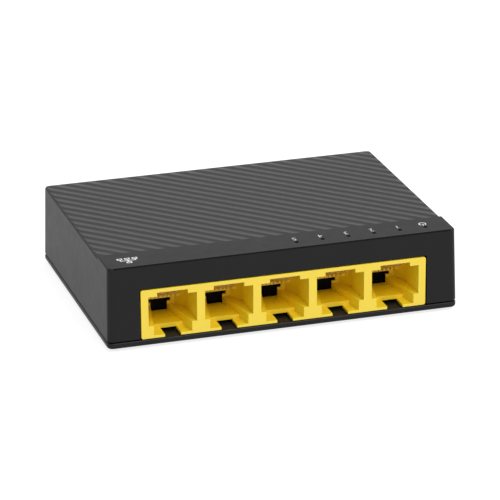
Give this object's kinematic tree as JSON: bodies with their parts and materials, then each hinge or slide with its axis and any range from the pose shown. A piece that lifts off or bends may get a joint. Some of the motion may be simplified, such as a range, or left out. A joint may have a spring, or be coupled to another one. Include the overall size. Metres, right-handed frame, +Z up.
{
  "type": "desktop network switch",
  "caption": "Small flat black desktop network switch with a ribbed top, a yellow block of modular sockets along one long side and pinhole indicator lamps above them.",
  "frame": {"origin": "on the surface that the feet stand on, under the middle of the case", "axes": "+Z up; -Y out of the sockets; +X to the right when looking at the sockets, where port 1 is"},
  "size_m": [0.088, 0.064, 0.021],
  "materials": {
    "black_plastic": "fine matt texture",
    "yellow_plastic": "satin",
    "insert_plastic": "satin",
    "contact_gold": "gold-flashed wire",
    "board_laminate": "solder mask",
    "clear_plastic": "clear, frosted ends",
    "lamp_lens": "clear",
    "tinned_metal": "bright tin",
    "chip_epoxy": "moulded epoxy",
    "steel": "zinc plated",
    "ferrite": "bare ferrite",
    "capacitor_can": "drawn can",
    "ceramic_chip": "fired ceramic",
    "rubber": "matt",
    "label_paper": "blank coated paper"
  },
  "bodies": {
    "case": {"top_cover": "black_plastic", "bottom_cover": "black_plastic", "port_housing": "yellow_plastic", "terminal_block_1": "insert_plastic", "terminal_block_2": "insert_plastic", "terminal_block_3": "insert_plastic", "terminal_block_4": "insert_plastic", "terminal_block_5": "insert_plastic", "dc_jack_housing": "insert_plastic", "circuit_board": "board_laminate", "light_guide": "clear_plastic", "led_power": "lamp_lens", "led_port_1": "lamp_lens", "led_port_2": "lamp_lens", "led_port_3": "lamp_lens", "led_port_4": "lamp_lens", "led_port_5": "lamp_lens", "dc_jack_pin": "tinned_metal", "dc_jack_contact": "tinned_metal", "switch_chip": "chip_epoxy", "transformer_1": "chip_epoxy", "transformer_2": "chip_epoxy", "transformer_3": "chip_epoxy", "transformer_4": "chip_epoxy", "transformer_5": "chip_epoxy", "voltage_regulator": "chip_epoxy", "crystal": "steel", "case_screw_1": "steel", "case_screw_2": "steel", "board_screw_1": "steel", "board_screw_2": "steel", "power_inductor": "ferrite", "capacitor_1": "capacitor_can", "capacitor_2": "capacitor_can", "chip_capacitor_1": "ceramic_chip", "chip_capacitor_2": "ceramic_chip", "chip_capacitor_3": "ceramic_chip", "chip_capacitor_4": "ceramic_chip", "chip_capacitor_5": "ceramic_chip", "chip_capacitor_6": "ceramic_chip", "chip_capacitor_7": "ceramic_chip", "chip_capacitor_8": "ceramic_chip", "foot_1": "rubber", "foot_2": "rubber", "foot_3": "rubber", "foot_4": "rubber", "rating_label": "label_paper"},
    "port_1_contacts": {"contact_springs_1": "contact_gold"},
    "port_2_contacts": {"contact_springs_2": "contact_gold"},
    "port_3_contacts": {"contact_springs_3": "contact_gold"},
    "port_4_contacts": {"contact_springs_4": "contact_gold"},
    "port_5_contacts": {"contact_springs_5": "contact_gold"}
  },
  "joints": [
    {"name": "port_1_contact_spring", "type": "hinge", "parent": "case", "child": "port_1_contacts", "pos_m": [0.02794, -0.02895, 0.013], "axis": [1, 0, 0], "range_deg": [0, 12], "stiffness_Nm_per_rad": 0.3},
    {"name": "port_2_contact_spring", "type": "hinge", "parent": "case", "child": "port_2_contacts", "pos_m": [0.01397, -0.02895, 0.013], "axis": [1, 0, 0], "range_deg": [0, 12], "stiffness_Nm_per_rad": 0.3},
    {"name": "port_3_contact_spring", "type": "hinge", "parent": "case", "child": "port_3_contacts", "pos_m": [0, -0.02895, 0.013], "axis": [1, 0, 0], "range_deg": [0, 12], "stiffness_Nm_per_rad": 0.3},
    {"name": "port_4_contact_spring", "type": "hinge", "parent": "case", "child": "port_4_contacts", "pos_m": [-0.01397, -0.02895, 0.013], "axis": [1, 0, 0], "range_deg": [0, 12], "stiffness_Nm_per_rad": 0.3},
    {"name": "port_5_contact_spring", "type": "hinge", "parent": "case", "child": "port_5_contacts", "pos_m": [-0.02794, -0.02895, 0.013], "axis": [1, 0, 0], "range_deg": [0, 12], "stiffness_Nm_per_rad": 0.3}
  ]
}
